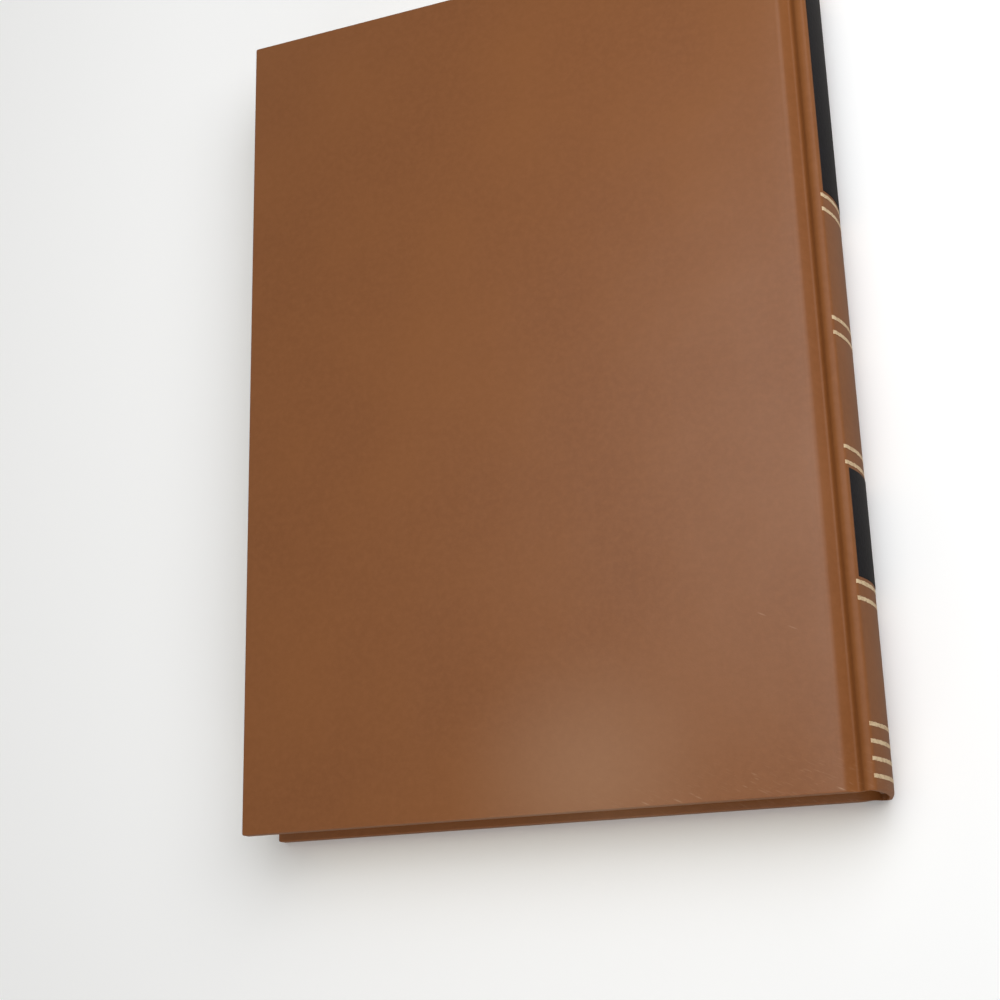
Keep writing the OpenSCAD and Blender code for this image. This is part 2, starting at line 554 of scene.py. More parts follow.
@dataclass(frozen=True)
class BookLeather(Finish):
    """Smooth calf, dyed brown and polished: a soft sheen, fine pores, even dye and faint rubs at the tail,
    with a pale patch of painted sheen by the tail.
    """

    dye: str = "#845129"
    deep_dye: str = "#7D4B25"
    warm_dye: str = "#8A562F"
    # Pale tone of the rubbed hairlines and scuffs, and of the painted sheen patch by the tail
    rubbed: str = "#B08A6B"
    ior: float = 1.46
    rough_deep: float = 0.43
    rough_dye: float = 0.38
    shine: float = 0.5
    joint_shine: float = 0.2
    cover_dull: tuple[float, float] = (-2.6, 1.0)
    spine_dull: tuple[float, float] = (0.6, 0.9)
    cloud_mm: float = 40.0
    fleck_mm: float = 2.0
    pore_mm: float = 0.55
    pore_share: float = 0.25
    creases_per_mm: float = 0.9
    wave_mm: float = 20.0
    skin_relief_mm: float = 0.06
    wave_relief_mm: float = 0.9
    hair_y: tuple[float, float] = (1.0, 12.0)
    hair_x: tuple[float, float] = (70.0, 150.0)
    hair_share: float = 0.3
    hair_stretch: tuple[float, float, float] = (0.3, 2.2, 0.5)
    # A broad pale patch by the tail, which is painted sheen: its middle from the fore-edge and the tail, its
    # radius and its strength
    handled: tuple[float, float] = (98.0, 7.0)
    handled_r: float = 42.0
    handled_share: float = 0.3
    scuffs: tuple[tuple[float, float, float, float], ...] = ()
    scuff_turn: float = -26.0
    scuff_w: float = 0.45

    def draw(self, tree: bpy.types.NodeTree, shader: bpy.types.Node) -> None:
        """Draws slow clouds of dye with warmer flecks, under the wear and the painted sheen patch, the shine
        and the relief.
        """
        place = add_node(tree, "Attribute", attribute_name=PLACE).outputs["Vector"]
        clouds = {"Vector": place, "Scale": 1 / self.cloud_mm, "Detail": 3.0, "Roughness": 0.5}
        clouds = add_node(tree, "TexNoise", clouds)
        clouds = add_node(tree, "MapRange", {"Value": clouds, "From Min": 0.3, "From Max": 0.7})
        flecks = {"Vector": place, "Scale": 1 / self.fleck_mm, "Detail": 5.0, "Roughness": 0.7}
        flecks = add_node(tree, "TexNoise", flecks)
        flecks = {"Value": flecks, "From Min": 0.4, "From Max": 0.75, "To Max": 0.6}
        flecks = add_node(tree, "MapRange", flecks)
        # The share of the pale tone holds the wear and also the painted sheen patch
        wear_and_sheen = self._wear(tree, place)
        colour = paint(self.deep_dye)
        for share, tone in ((clouds, self.dye), (flecks, self.warm_dye), (wear_and_sheen, self.rubbed)):
            colour = {SHARE: share, FIRST: colour, SECOND: paint(tone)}
            colour = add_node(tree, "Mix", colour, data_type="RGBA")
        gloss = {"Value": clouds, "To Min": self.rough_deep, "To Max": self.rough_dye}
        looks = {
            "Base Color": colour,
            "Roughness": add_node(tree, "MapRange", gloss),
            "IOR": self.ior,
            "Specular IOR Level": self._shine(tree, place),
            "Normal": self._relief(tree, place),
        }
        feed(tree, shader, looks)

    def _shine(self, tree: bpy.types.NodeTree, place: bpy.types.NodeSocket) -> bpy.types.Node:
        """Gives the strength of the shine, which is dulled in the joint, where the skin is creased."""
        across = add_node(tree, "SeparateXYZ", {"Vector": place}).outputs["X"]
        shares = []
        for start, end in (
            (SIZES.cover_w + self.cover_dull[0], SIZES.cover_w + self.cover_dull[1]),
            (SIZES.back_x + self.spine_dull[0], SIZES.shoulder_x + self.spine_dull[1]),
        ):
            reach = {"Value": across, "From Min": start, "From Max": end}
            shares.append(add_node(tree, "MapRange", reach, interpolation_type="SMOOTHSTEP"))
        dull = add_node(tree, "Math", dict(enumerate(shares)), operation="MULTIPLY")
        return add_node(tree, "MapRange", {"Value": dull, "To Min": self.shine, "To Max": self.joint_shine})

    def _wear(self, tree: bpy.types.NodeTree, place: bpy.types.NodeSocket) -> bpy.types.Node:
        """Gives the share that is painted pale: rubbed hairlines along the tail and the scuffs, which are
        wear, and a broad patch by the tail, which is painted sheen.
        """
        parts = add_node(tree, "SeparateXYZ", {"Vector": place})
        slant = (0.0, 0.0, math.radians(-self.scuff_turn))
        hairs = add_node(tree, "Mapping", {"Vector": place, "Rotation": slant})
        hairs = add_node(tree, "Mapping", {"Vector": hairs, "Scale": self.hair_stretch})
        hairs = add_node(tree, "TexNoise", {"Vector": hairs, "Scale": 1.0, "Detail": 3.0})
        wear_and_sheen = add_node(tree, "MapRange", {"Value": hairs, "From Min": 0.58, "From Max": 0.76})
        low, high = self.hair_y
        near_tail = {"Value": parts.outputs["Y"], "From Min": low, "From Max": high}
        near_tail.update({"To Min": self.hair_share, "To Max": 0.0})
        low, high = self.hair_x
        near_spine = {"Value": parts.outputs["X"], "From Min": low, "From Max": high}
        for share in (near_tail, near_spine):
            share = add_node(tree, "MapRange", share)
            wear_and_sheen = add_node(tree, "Math", {0: wear_and_sheen, 1: share}, operation="MULTIPLY")
        # The patch by the tail is painted sheen, paler towards its middle
        away = {0: place, 1: (*self.handled, SIZES.book_v)}
        away = {"Value": add_node(tree, "VectorMath", away, operation="DISTANCE")}
        away.update({"From Max": self.handled_r, "To Min": self.handled_share, "To Max": 0.0})
        marks = [add_node(tree, "MapRange", away, interpolation_type="SMOOTHSTEP")]
        marks += [self._scuff(tree, place, *scuff) for scuff in self.scuffs]
        for mark in marks:
            wear_and_sheen = add_node(tree, "Math", {0: wear_and_sheen, 1: mark}, operation="ADD")
        return wear_and_sheen

    def _scuff(
        self,
        tree: bpy.types.NodeTree,
        place: bpy.types.NodeSocket,
        x: float,
        y: float,
        length: float,
        share: float,
    ) -> bpy.types.Node:
        """Draws a short slanted scuff on the outside of the cover.

        Args:
            tree: The material's nodes.
            place: The place on the piece.
            x: Middle of the scuff, from the fore-edge.
            y: Middle of the scuff, from the tail.
            length: Its length.
            share: How pale its middle is, from 0 to 1.

        Returns:
            The node that gives how pale it is.
        """
        frame_of_scuff = {
            "Vector": place,
            "Location": (x, y, SIZES.book_v),
            "Rotation": (0.0, 0.0, math.radians(self.scuff_turn)),
            "Scale": (length / 2, self.scuff_w / 2, 1.0),
        }
        local = add_node(tree, "Mapping", frame_of_scuff, vector_type="TEXTURE")
        away = {"Value": add_node(tree, "VectorMath", {0: local}, operation="LENGTH")}
        away.update({"From Min": 0.1, "From Max": 1.0, "To Min": share, "To Max": 0.0})
        return add_node(tree, "MapRange", away)

    def _relief(self, tree: bpy.types.NodeTree, place: bpy.types.NodeSocket) -> bpy.types.Node:
        """Gives the relief: pores of half a millimetre over slow waves of the glued skin."""
        pores = add_node(tree, "TexVoronoi", {"Vector": place, "Scale": 1 / self.pore_mm, "Randomness": 1.0})
        creases = {"Vector": place, "Scale": self.creases_per_mm, "Detail": 6.0, "Roughness": 0.65}
        skin = {0: pores, 1: self.pore_share, 2: add_node(tree, "TexNoise", creases)}
        skin = {"Height": add_node(tree, "Math", skin, operation="MULTIPLY_ADD")}
        waves = add_node(tree, "TexNoise", {"Vector": place, "Scale": 1 / self.wave_mm, "Detail": 2.0})
        waves = {"Height": waves, "Distance": self.wave_relief_mm * MM, "Strength": 0.2}
        skin.update({"Distance": self.skin_relief_mm * MM, "Strength": 0.35})
        return add_node(tree, "Bump", {**skin, "Normal": add_node(tree, "Bump", waves)})


@dataclass(frozen=True)
class TwoToned(Finish):
    """A finish of two tones, which a pattern shares out, and whose relief follows a pattern."""

    tone: str = "#EFE6D2"
    other_tone: str = "#E4D8BE"
    roughness: float = 0.8
    relief_mm: float = 0.2
    relief_strength: float = 0.6

    def lay(
        self, tree: bpy.types.NodeTree, shader: bpy.types.Node, share: Any, height: Any, sunk: bool = False
    ) -> None:
        """Lays the two tones and the relief on the shader.

        Args:
            tree: The material's nodes.
            shader: The shader.
            share: Node that gives the share of the other tone.
            height: Node that gives the height of the relief.
            sunk: Whether the relief is turned inwards.
        """
        colour = {SHARE: share, FIRST: paint(self.tone), SECOND: paint(self.other_tone)}
        relief = {"Height": height, "Distance": self.relief_mm * MM, "Strength": self.relief_strength}
        looks = {
            "Base Color": add_node(tree, "Mix", colour, data_type="RGBA"),
            "Normal": add_node(tree, "Bump", relief, invert=sunk),
            "Roughness": self.roughness,
        }
        feed(tree, shader, looks)


@dataclass(frozen=True)
class LabelLeather(TwoToned):
    """Pared goatskin, dyed blue-black and glazed: near black, with a fine pebbled glint."""

    tone: str = "#15141B"
    other_tone: str = "#0C0B10"
    roughness: float = 0.5
    relief_mm: float = 0.1
    relief_strength: float = 0.4
    shine: float = 0.25
    pebbles_per_mm: float = 1.1

    def draw(self, tree: bpy.types.NodeTree, shader: bpy.types.Node) -> None:
        """Draws pebbles of about a millimetre, darker between them."""
        place = add_node(tree, "Attribute", attribute_name=PLACE).outputs["Vector"]
        pebbles = {"Vector": place, "Scale": self.pebbles_per_mm, "Smoothness": 0.5}
        pebbles = add_node(tree, "TexVoronoi", pebbles, feature="SMOOTH_F1")
        between = add_node(tree, "MapRange", {"Value": pebbles, "From Max": 0.8})
        self.lay(tree, shader, between, pebbles, sunk=True)
        feed(tree, shader, {"Specular IOR Level": self.shine})


@dataclass(frozen=True)
class GoldLeaf(Finish):
    """Gold leaf, pressed hot into leather: a pale warm metal, dulled and rubbed through in specks."""

    gold: str = "#F0D6AE"
    dulled: str = "#CDA97F"
    leather: str = "#845129"
    roughness: float = 0.38
    metallic: float = 0.4
    patches_per_mm: float = 0.8
    specks_per_mm: float = 2.6
    relief_mm: float = 0.08

    def draw(self, tree: bpy.types.NodeTree, shader: bpy.types.Node) -> None:
        """Draws bright and dulled leaf, with specks where the leather shows."""
        place = add_node(tree, "Attribute", attribute_name=PLACE).outputs["Vector"]
        patches = add_node(tree, "TexNoise", {"Vector": place, "Scale": self.patches_per_mm, "Detail": 3.0})
        dull = add_node(tree, "MapRange", {"Value": patches, "From Min": 0.45, "From Max": 0.75})
        specks = add_node(tree, "TexNoise", {"Vector": place, "Scale": self.specks_per_mm, "Detail": 2.0})
        bare = add_node(tree, "MapRange", {"Value": specks, "From Min": 0.66, "From Max": 0.7})
        colour = paint(self.gold)
        for share, tone in ((dull, self.dulled), (bare, self.leather)):
            colour = {SHARE: share, FIRST: colour, SECOND: paint(tone)}
            colour = add_node(tree, "Mix", colour, data_type="RGBA")
        metal = {"Value": bare, "To Min": self.metallic, "To Max": 0.0}
        relief = {"Height": specks, "Distance": self.relief_mm * MM, "Strength": 0.5}
        looks = {
            "Base Color": colour,
            "Metallic": add_node(tree, "MapRange", metal),
            "Normal": add_node(tree, "Bump", relief),
            "Roughness": self.roughness,
        }
        feed(tree, shader, looks)


@dataclass(frozen=True)
class LeafEdges(TwoToned):
    """Cut edges of wove book paper: matt ivory, with fine lines of single leaves and soft grey between."""

    tone: str = "#C9B896"
    other_tone: str = "#EADFC6"
    roughness: float = 0.85
    line_mm: float = 0.3
    along_per_mm: float = 0.012

    def draw(self, tree: bpy.types.NodeTree, shader: bpy.types.Node) -> None:
        """Draws the lines of leaves, coarser than real leaves of 0.1 mm, so that they show."""
        place = add_node(tree, "Attribute", attribute_name=PLACE).outputs["Vector"]
        stretch = (self.along_per_mm, self.along_per_mm, 1 / self.line_mm)
        along = add_node(tree, "Mapping", {"Vector": place, "Scale": stretch})
        lines = add_node(tree, "TexNoise", {"Vector": along, "Scale": 1.0, "Detail": 3.0, "Roughness": 0.7})
        pale = add_node(tree, "MapRange", {"Value": lines, "From Min": 0.38, "From Max": 0.62})
        self.lay(tree, shader, pale, lines)


@dataclass(frozen=True)
class FibrePaper(TwoToned):
    """Paper or board of felted fibres: matt, with a cloudy tone and a faint tooth."""

    relief_mm: float = 0.04
    fibre_mm: float = 1.2
    clouds_per_mm: float = 0.06

    def draw(self, tree: bpy.types.NodeTree, shader: bpy.types.Node) -> None:
        """Draws slow clouds and a fine tooth from Object coordinates in millimetres."""
        place = add_node(tree, "TexCoord").outputs["Object"]
        place = add_node(tree, "Mapping", {"Vector": place, "Scale": (1 / MM,) * 3})
        clouds = {"Vector": place, "Scale": self.clouds_per_mm, "Detail": 6.0, "Roughness": 0.7}
        clouds = {"Value": add_node(tree, "TexNoise", clouds), "From Min": 0.35, "From Max": 0.65}
        tooth = add_node(tree, "TexNoise", {"Vector": place, "Scale": 1 / self.fibre_mm, "Detail": 6.0})
        self.lay(tree, shader, add_node(tree, "MapRange", clouds), tooth)


@dataclass(frozen=True)
class LiningCloth(TwoToned):
    """Mull, an open cotton weave sized with glue: pale threads over darker gaps."""

    tone: str = "#B5A788"
    other_tone: str = "#E6DFCC"
    roughness: float = 0.9
    relief_strength: float = 0.7
    pitch_mm: float = 0.9
    # A wave's bands are 0.314 apart at a scale of 1
    band_pitch: float = 0.314

    def draw(self, tree: bpy.types.NodeTree, shader: bpy.types.Node) -> None:
        """Draws two sets of threads, along the spine and round it."""
        place = add_node(tree, "Attribute", attribute_name=PLACE).outputs["Vector"]
        threads = {"Vector": place, "Scale": self.band_pitch / self.pitch_mm, "Distortion": 0.3}
        waves = [add_node(tree, "TexWave", threads, bands_direction=way).outputs["Fac"] for way in ("Y", "Z")]
        weave = add_node(tree, "Math", dict(enumerate(waves)), operation="MAXIMUM")
        self.lay(tree, shader, weave, weave)


@dataclass(frozen=True)
class BandSilk(Finish):
    """Silk thread wound over a cord: glossy turns in two colours, with a soft sheen across them."""

    # Both tones are kept dark: partly the silk's own colour, partly painted shade for the hollow at the
    # spine's end
    light: str = "#8C6444"
    dark: str = "#3C2218"
    roughness: float = 0.45
    sheen: float = 0.4
    turns_per_stripe: float = 4.0
    stripe_ease: float = 0.1

    def draw(self, tree: bpy.types.NodeTree, shader: bpy.types.Node) -> None:
        """Draws the stripes by the number of the turn, which the piece keeps in place of its X."""
        place = add_node(tree, "Attribute", attribute_name=PLACE).outputs["Vector"]
        turn = add_node(tree, "SeparateXYZ", {"Vector": place}).outputs["X"]
        stripe = {"Value": add_node(tree, "Math", {0: turn, 1: self.turns_per_stripe}, operation="PINGPONG")}
        middle = self.turns_per_stripe / 2
        stripe.update({"From Min": middle - self.stripe_ease, "From Max": middle + self.stripe_ease})
        stripe = add_node(tree, "MapRange", stripe)
        colour = {SHARE: stripe, FIRST: paint(self.light), SECOND: paint(self.dark)}
        looks = {
            "Base Color": add_node(tree, "Mix", colour, data_type="RGBA"),
            "Roughness": self.roughness,
            "Sheen Weight": self.sheen,
            "Sheen Roughness": self.sheen,
        }
        feed(tree, shader, looks)


LEATHER = BookLeather(
    "brown calf, polished",
    # Each scuff's middle from the fore-edge and from the tail, its length, and how pale it is
    scuffs=(
        (145.5, 44.7, 3.0, 0.45),
        (153.0, 40.5, 3.4, 0.35),
        (161.3, 0.9, 2.6, 0.5),
        (141.4, 4.6, 1.6, 0.25),
        (140.8, 5.8, 2.2, 0.3),
        (138.4, 3.0, 1.8, 0.3),
        (126.8, 1.2, 2.4, 0.35),
        (125.1, 2.2, 2.0, 0.25),
        (121.5, 0.8, 3.2, 0.5),
        (113.3, 0.7, 2.8, 0.5),
    ),
)
LABEL_LEATHER = LabelLeather("blue-black goatskin, glazed")
GOLD = GoldLeaf("gold leaf, hot pressed")
LEAF_EDGES = LeafEdges("wove book paper, cut edges")
ENDPAPER = FibrePaper("cream endpaper, laid")
GREYBOARD = FibrePaper("greyboard, milled", "#8F877B", "#7F786D", relief_mm=0.12, fibre_mm=0.8)
CARD = FibrePaper("spine card, calendered", "#A08A69", "#8E795A", relief_mm=0.05, fibre_mm=0.6)
KRAFT = FibrePaper("kraft lining paper, glazed", "#C9B58E", "#B9A378", relief_mm=0.05, fibre_mm=0.7)
MULL = LiningCloth("mull, sized cotton")
SILK = BandSilk("headband silk, wound")


# the case: leather, boards and spine


@dataclass
class CaseLeather:
    """One cover's leather, and its half of the spine, as one skin that bends in the joint."""

    side: Side
    # Roundings, slopes and turns of the section
    arris_r: float = 2.6
    foot_r: float = 0.8
    slope: float = 38.0
    skin_over_board: float = 0.2
    spine_lip: float = 0.5
    cove_turn: float = 56.0
    crest_r: float = 1.5
    # Widths of the rounded edges, and the lengths over which they change
    board_edge: float = 0.5
    inner_edge: float = 0.35
    corner_edge: float = 0.6
    joint_edge: float = 0.2
    spine_edge: float = 1.0
    flat_ease: float = 9.0
    spine_ease: float = 3.5
    # Depth from the inside of the leather past which a point counts as outside
    outer_skin: float = 0.2
    # Strokes that the arcs are drawn in
    slope_steps: int = 6
    foot_steps: int = 10
    turn_steps: int = 8
    inner_cove_steps: int = 14
    spine_steps: int = 41
    lining_steps: int = 43

    def build(self) -> bpy.types.Object:
        """Makes the skin: a swept section, hollowed for the board and the stiff card, cut along the spine.

        Returns:
            The finished skin.
        """
        s = SIZES
        bm = bmesh.new()
        section = self._section(bm)
        carry(bm, [section], Matrix.Translation((0.0, s.cover_h, 0.0)))
        bmesh.ops.recalc_face_normals(bm, faces=bm.faces)
        self._hollow_for_board(bm)
        self._hollow_for_card(bm)
        whole = [*bm.verts, *bm.edges, *bm.faces]
        halved = bmesh.ops.bisect_plane(
            bm, geom=whole, dist=1e-5, plane_co=(0, 0, 0), plane_no=(0, 0, 1), clear_inner=True
        )
        rim = [g for g in halved["geom_cut"] if isinstance(g, bmesh.types.BMEdge)]
        bmesh.ops.contextual_create(bm, geom=rim)
        bmesh.ops.recalc_face_normals(bm, faces=bm.faces)
        weigh(bm, self._edge_weight)
        skin = BENCH.finish(f"{self.side.name.lower()}_leather", bm, self.side, bevel_mm=self.spine_edge)
        LEATHER.dress(skin)
        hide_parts(f"{self.side.body}_leather", "spine_leather")
        blend_in_joint(skin)
        return skin

    @property
    def flat_x(self) -> float:
        """Where the flat outside of the cover ends, so that the slope clears the board's corner."""
        s = SIZES
        turn = math.radians(self.slope)
        gap = s.leather_t - self.skin_over_board * math.cos(turn)
        crossing = s.cover_w - s.leather_t + self.skin_over_board * math.sin(turn) - gap / math.tan(turn)
        return crossing - self.arris_r * math.tan(turn / 2)

    @property
    def roll_x(self) -> float:
        """Where the roll from the cove over to the crest ends."""
        s = SIZES
        turn = math.radians(self.cove_turn)
        cove = s.cove_r - s.cloth_out - s.leather_t
        rise = s.crest_v - (s.cove_v - cove * math.cos(turn))
        return s.curve_x + (cove + rise / (1 - math.cos(turn))) * math.sin(turn)

    @property
    def crest_centre(self) -> tuple[float, float, float]:
        """Centre of the rounding between a crest and the round spine, and its angle from the middle."""
        s = SIZES
        edge_v = s.crest_v - self.crest_r
        edge_x = s.arc_x + math.sqrt((s.back_r + s.leather_out - self.crest_r) ** 2 - edge_v**2)
        return edge_x, edge_v, math.degrees(math.atan2(edge_v, edge_x - s.arc_x))

    def _section(self, bm: bmesh.types.BMesh) -> bmesh.types.BMFace:
        """Draws the section of the skin, outside first, with the whole round of the spine."""
        s = SIZES
        cove = s.cove_r - s.cloth_out - s.leather_t
        pen = Pen(bm, 0.0, s.inside_v).go(0.0, s.book_v)
        # The strokes before the slope are the run on which the width of the rounded edge changes
        for part in (4, 3, 2, 1, 0):
            pen.go(self.flat_x - part * self.flat_ease / 3, s.book_v)
        pen.turn(self.flat_x, s.book_v - self.arris_r, self.slope, self.slope_steps)
        # The leather slopes down past the board's corner, and its foot eases into the cove on the shoulder
        down = Vector((math.sin(math.radians(self.slope)), math.cos(math.radians(self.slope))))
        corner = Vector((s.cover_w - s.leather_t, s.book_v - s.leather_t)) + self.skin_over_board * down
        centre = Vector((s.curve_x, s.cove_v))
        over = (centre - corner).dot(down)
        both = math.degrees(math.acos((over - self.foot_r) / (cove - self.foot_r)))
        start = math.radians(both - self.slope)
        foot = centre + (cove - self.foot_r) * Vector((math.sin(start), -math.cos(start)))
        pen.go(*(foot - self.foot_r * down)).turn(*foot, -both, self.foot_steps)
        pen.turn(s.curve_x, s.cove_v, -(self.cove_turn - math.degrees(start)), self.turn_steps)
        # The crest rolls over from the cove to the rounded spine
        turn = math.radians(self.cove_turn)
        roll_r = (s.crest_v - s.cove_v + cove * math.cos(turn)) / (1 - math.cos(turn))
        pen.turn(self.roll_x, s.crest_v - roll_r, self.cove_turn, self.turn_steps)
        edge_x, edge_v, lift = self.crest_centre
        pen.go(edge_x, s.crest_v).turn(edge_x, edge_v, 90 - lift, self.turn_steps)
        pen.turn(s.arc_x, 0.0, 2 * lift, self.spine_steps)
        # Back along the inside, as far out as the leather turned in over the stiff card
        inner_r = s.back_r + s.hollow_out - s.turnin_t
        top_v = s.crest_v - s.leather_t
        under = math.degrees(math.asin((top_v - 0.1) / inner_r))
        low_turn = math.radians(lift)
        pen.go(s.arc_x + inner_r * math.cos(low_turn), -inner_r * math.sin(low_turn))
        pen.turn(s.arc_x, 0.0, -(lift + under), self.lining_steps)
        inner_cove = s.cove_r - s.cloth_out
        reach = math.degrees(math.acos((s.cove_v - top_v) / inner_cove))
        pen.go(s.arc_x + inner_r * math.cos(math.radians(under)) - 0.1, top_v)
        pen.go(s.curve_x + inner_cove * math.sin(math.radians(reach)), top_v)
        pen.turn(s.curve_x, s.cove_v, reach, self.inner_cove_steps)
        pen.go(s.cover_w - s.leather_t, s.inside_v)
        return pen.close()

    def _hollow_for_board(self, bm: bmesh.types.BMesh) -> None:
        """Opens the inside between the turned-in edges, and widens it there to the board's own size."""
        s = SIZES
        downward = (f for f in bm.faces if abs(f.normal.z + 1) < NEAR)
        inside = max(
            (f for f in downward if f.calc_center_median().x < s.cover_w), key=lambda f: f.calc_area()
        )
        bmesh.ops.inset_individual(bm, faces=[inside], thickness=s.turnin_w, use_even_offset=True)
        spine_side = s.cover_w - s.leather_t
        lip_x = spine_side - self.spine_lip
        for vert in inside.verts:
            if vert.co.x > s.cover_w / 2:
                vert.co.x = lip_x
        low = Vector((s.turnin_w, s.turnin_w, 0.0))
        high = Vector((lip_x, s.cover_h - s.turnin_w, 0.0))
        wide_low = Vector((s.leather_t, s.leather_t, 0.0))
        wide_high = Vector((spine_side, s.cover_h - s.leather_t, 0.0))
        floor = carry(bm, [inside], Matrix.Translation((0.0, 0.0, s.turnin_t)))
        floor = carry(bm, faces_of(floor), fit(low, high, wide_low, wide_high))
        carry(bm, faces_of(floor), Matrix.Translation((0.0, 0.0, s.board_t)))

    def _hollow_for_card(self, bm: bmesh.types.BMesh) -> None:
        """Thins the spine to a single leather between its two turned ends, to take the stiff card."""
        s = SIZES
        inner_r = s.back_r + s.hollow_out - s.turnin_t
        outer_r = s.back_r + s.inlay_out

        def lining() -> list[bmesh.types.BMFace]:
            """Faces on the inside of the rounded spine."""
            found = []
            for face in bm.faces:
                middle = face.calc_center_median()
                depth = abs(math.hypot(middle.x - s.arc_x, middle.z) - inner_r)
                if depth < 5 * NEAR and abs(face.normal.y) < 10 * NEAR:
                    found.append(face)
            return found

        for y in (s.leather_t, s.cover_h - s.leather_t):
            cut(bm, lining(), Vector((0.0, y, 0.0)), Vector((0.0, 1.0, 0.0)))
        between = [f for f in lining() if s.leather_t < f.calc_center_median().y < s.cover_h - s.leather_t]
        widen = outer_r / inner_r
        about = Matrix.Translation((s.arc_x, 0.0, 0.0))
        carry(bm, between, about @ Matrix.Diagonal((widen, 1.0, widen, 1.0)) @ about.inverted())

    def _is_outside(self, place: Vector) -> bool:
        """Tells whether a point of an end of the skin lies on the outside of its section."""
        s = SIZES
        inside = s.leather_t - self.outer_skin
        cove = s.cove_r - s.cloth_out - self.outer_skin
        in_cove = math.hypot(place.x - s.curve_x, place.z - s.cove_v) < cove
        round_spine = math.hypot(place.x - s.arc_x, place.z) > s.back_r + s.inlay_out + self.outer_skin
        return in_cove or place.z > s.crest_v - inside or (round_spine and place.x > s.shoulder_x)

    def _edge_weight(self, edge: bmesh.types.BMEdge) -> float:
        """Says how much an edge is rounded, as a share of the widest rounding, at the ends of the spine.

        The width changes only along straight or nearly straight runs, as a change on a bend would fold there.

        Args:
            edge: An edge of the skin.

        Returns:
            Its share, from 0 to 1.
        """
        s = SIZES
        a, b = (v.co for v in edge.verts)
        middle = (a + b) / 2
        at_end = min(abs(a.y), abs(a.y - s.cover_h)) < NEAR and abs(a.y - b.y) < NEAR
        at_fore = a.x < NEAR and b.x < NEAR
        if middle.z < NEAR:
            width = 0.0
        elif at_fore and abs(a.z - b.z) > 1:
            width = self.corner_edge
        elif at_fore:
            width = self.board_edge if middle.z > s.inside_v + 1 else self.inner_edge
        elif at_end and self._is_outside(middle) and middle.x < self.roll_x:
            share = smooth_step((middle.x - self.flat_x) / self.flat_ease + 4 / 3)
            width = self.board_edge + (self.joint_edge - self.board_edge) * share
        elif at_end and self._is_outside(middle):
            share = smooth_step((s.tip_v - middle.z) / self.spine_ease)
            width = self.joint_edge + (self.spine_edge - self.joint_edge) * share
        elif at_end and middle.x < s.cover_w - 2 and middle.z < s.inside_v + NEAR:
            width = self.inner_edge
        else:
            width = 0.0
        return width / self.spine_edge


def blend_in_joint(piece: bpy.types.Object) -> None:
    """Bakes the piece's move in the frame into its mesh.

    Args:
        piece: The finished piece.
    """
    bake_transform(piece)


@dataclass
class SpineTurnIn:
    """Pared leather turned over an end of the stiff card and down inside the hollow."""

    end: End
    eased: float = 0.12
    below_crest: float = 0.1
    steps: int = 40

    def build(self) -> bpy.types.Object:
        """Makes the turned-in strip round the inside of the spine.

        Returns:
            The finished strip.
        """
        s = SIZES
        bm = bmesh.new()
        inner = s.back_r + s.hollow_out - s.turnin_t
        top = s.crest_v - s.leather_t - self.below_crest
        half = math.degrees(math.asin(top / (inner + s.turnin_t)))
        reach = (s.leather_t, s.turnin_w)
        if self.end is End.HEAD:
            reach = (s.cover_h - s.turnin_w, s.cover_h - s.leather_t)
        arc_solid(bm, inner, inner + s.turnin_t - NEAR, *reach, half, self.steps)
        weigh(bm, lambda edge: float(abs(edge.verts[0].co.y - edge.verts[1].co.y) < NEAR))
        strip = BENCH.finish(f"{self.end.name.lower()}_spine_turnin", bm, bevel_mm=self.eased, segments=2)
        LEATHER.dress(strip)
        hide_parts("spine_leather")
        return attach(strip, "book_block")


@dataclass
class Label:
    """A bare label of thin dark leather, pasted across the spine."""

    node: str
    low_y: float
    high_y: float
    eased: float = 0.1
    sunk: float = 0.02
    steps: int = 36

    def build(self) -> bpy.types.Object:
        """Makes the label as a layer on the spine with pared edges.

        Returns:
            The finished label.
        """
        s = SIZES
        bm = bmesh.new()
        inner = s.back_r + s.leather_out
        half = math.degrees(math.asin((s.crest_v - s.label_inset) / (inner + s.label_t)))
        arc_solid(bm, inner - self.sunk, inner + s.label_t, self.low_y, self.high_y, half, self.steps)
        self._pare(bm)
        label = BENCH.finish(self.node, bm, bevel_mm=self.eased, segments=3)
        LABEL_LEATHER.dress(label)
        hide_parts(self.node)
        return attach(label, "book_block")

    def _pare(self, bm: bmesh.types.BMesh) -> None:
        """Weighs the outside edges, which a knife has pared."""
        s = SIZES
        face_r = s.back_r + s.leather_out + s.label_t - NEAR

        def weight(edge: bmesh.types.BMEdge) -> float:
            """Rounds an edge only if both its ends are on the outside."""
            return float(all(math.hypot(v.co.x - s.arc_x, v.co.z) > face_r for v in edge.verts))

        weigh(bm, weight)


